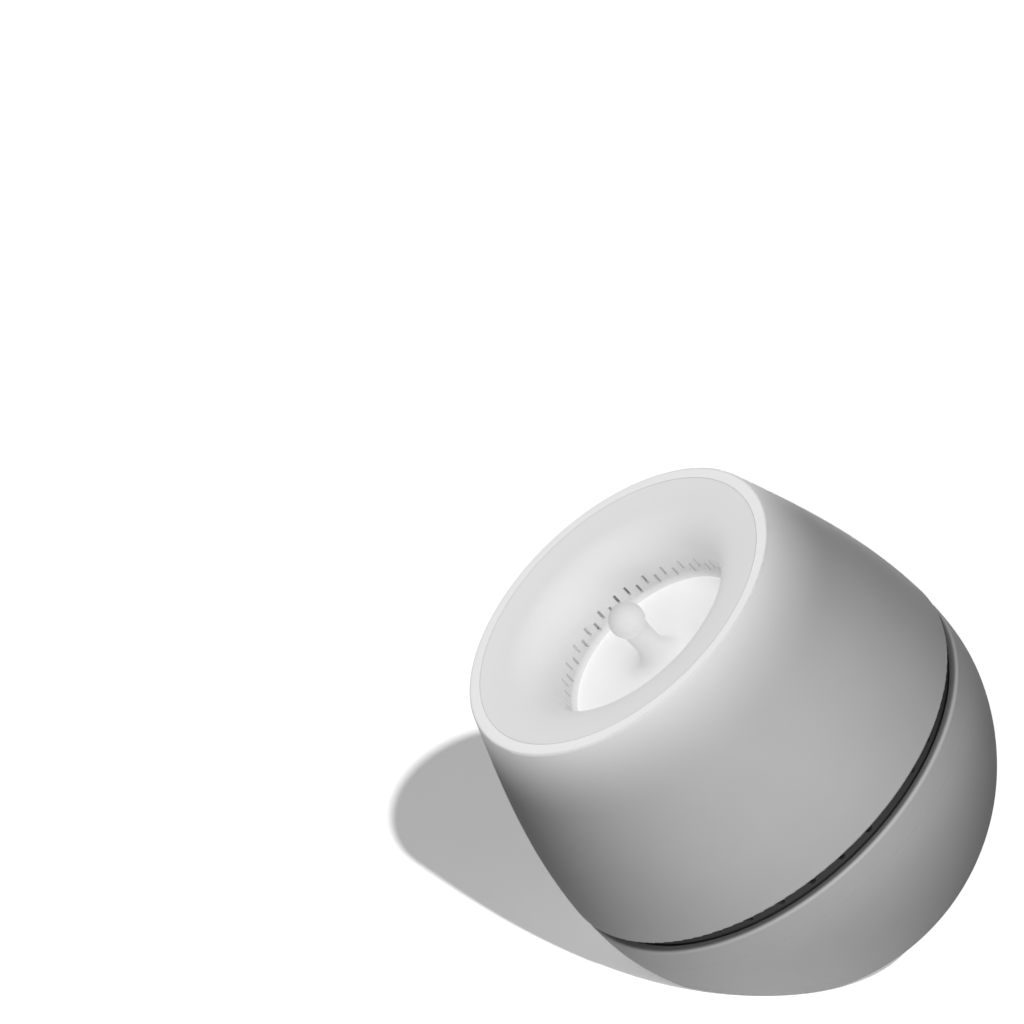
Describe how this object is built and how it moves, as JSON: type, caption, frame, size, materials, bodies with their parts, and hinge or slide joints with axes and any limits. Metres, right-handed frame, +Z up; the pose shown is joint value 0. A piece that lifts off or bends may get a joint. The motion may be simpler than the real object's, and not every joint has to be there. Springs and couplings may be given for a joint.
{
  "type": "white noise sound machine",
  "caption": "Fan-driven white noise machine: a round body leaning forward on a flat foot, with a glowing dish, a ball knob dial and a vented groove between its shells.",
  "frame": {"origin": "middle of the foot's bottom face, on the floor", "axes": "+Z up, the dish leans toward -Y, +X to the right seen from the front"},
  "size_m": [0.1399, 0.1612, 0.154],
  "materials": {
    "casing_white": "fine matt white",
    "dish_white": "smooth matt white",
    "groove_dark": "dark grey, matt",
    "inner_grey": "light grey, matt",
    "inner_dark": "dark grey, matt",
    "rubber_grey": "matt",
    "steel": "bright zinc",
    "motor_brown": "dark brown",
    "magnet": "bare ferrite",
    "brass": "bare",
    "board_green": "solder mask",
    "led_lens": "clear lamp",
    "connector": "cream",
    "black_part": "black",
    "lead_red": "satin",
    "lead_black": "satin"
  },
  "bodies": {
    "base": {"lower_shell": "casing_white", "foot_pad": "rubber_grey", "ballast": "steel", "ballast_screws": "steel", "vent_collar": "groove_dark", "swivel_flange": "inner_grey", "flange_screws": "steel", "motor_carrier": "inner_dark", "carrier_screws": "steel", "motor_can": "motor_brown", "motor_end_cap": "inner_dark", "motor_magnets": "magnet", "motor_bushing": "brass", "motor_gasket": "rubber_grey", "motor_terminals": "brass", "motor_screws": "steel", "baffle": "inner_grey", "baffle_screws": "steel", "led_board": "board_green", "leds": "led_lens", "led_plug": "connector", "led_board_screws": "steel", "control_board": "board_green", "board_screws": "steel", "tact_switches": "black_part", "dc_jack": "black_part", "dc_jack_pin": "steel", "control_chips": "black_part", "capacitor": "black_part", "board_plugs": "connector", "motor_lead_red": "lead_red", "motor_lead_black": "lead_black", "led_lead_red": "lead_red", "led_lead_black": "lead_black"},
    "upper_body": {"upper_shell": "casing_white", "tone_ring": "groove_dark", "dish_funnel": "dish_white", "dial_retainer": "inner_grey", "retainer_screws": "steel"},
    "dial_body": {"dial": "dish_white", "ball_knob": "dish_white", "shutter_sleeve": "inner_grey"},
    "fan": {"impeller": "inner_dark", "fan_shaft": "steel", "motor_rotor": "steel"},
    "power_key": {"power_button": "casing_white", "power_plunger": "inner_dark"},
    "glow_key": {"glow_button": "casing_white", "glow_plunger": "inner_dark"}
  },
  "joints": [
    {"name": "tone_turn", "type": "hinge", "parent": "base", "child": "upper_body", "pos_m": [0, 0, 0.06098], "axis": [0, -0.7071, 0.7071], "range_deg": [-4.7, 4.7]},
    {"name": "dial_turn", "type": "hinge", "parent": "upper_body", "child": "dial_body", "pos_m": [0, 0, 0.06098], "axis": [0, -0.7071, 0.7071], "range_deg": [0, 180]},
    {"name": "fan_spin", "type": "hinge", "parent": "base", "child": "fan", "pos_m": [0, 0, 0.06098], "axis": [0, -0.7071, 0.7071], "continuous": true},
    {"name": "power_press", "type": "slide", "parent": "base", "child": "power_key", "axis": [0, -1, 0], "range_m": [0, 0.001], "stiffness_N_per_m": 500},
    {"name": "glow_press", "type": "slide", "parent": "base", "child": "glow_key", "axis": [0, -1, 0], "range_m": [0, 0.001], "stiffness_N_per_m": 500}
  ]
}
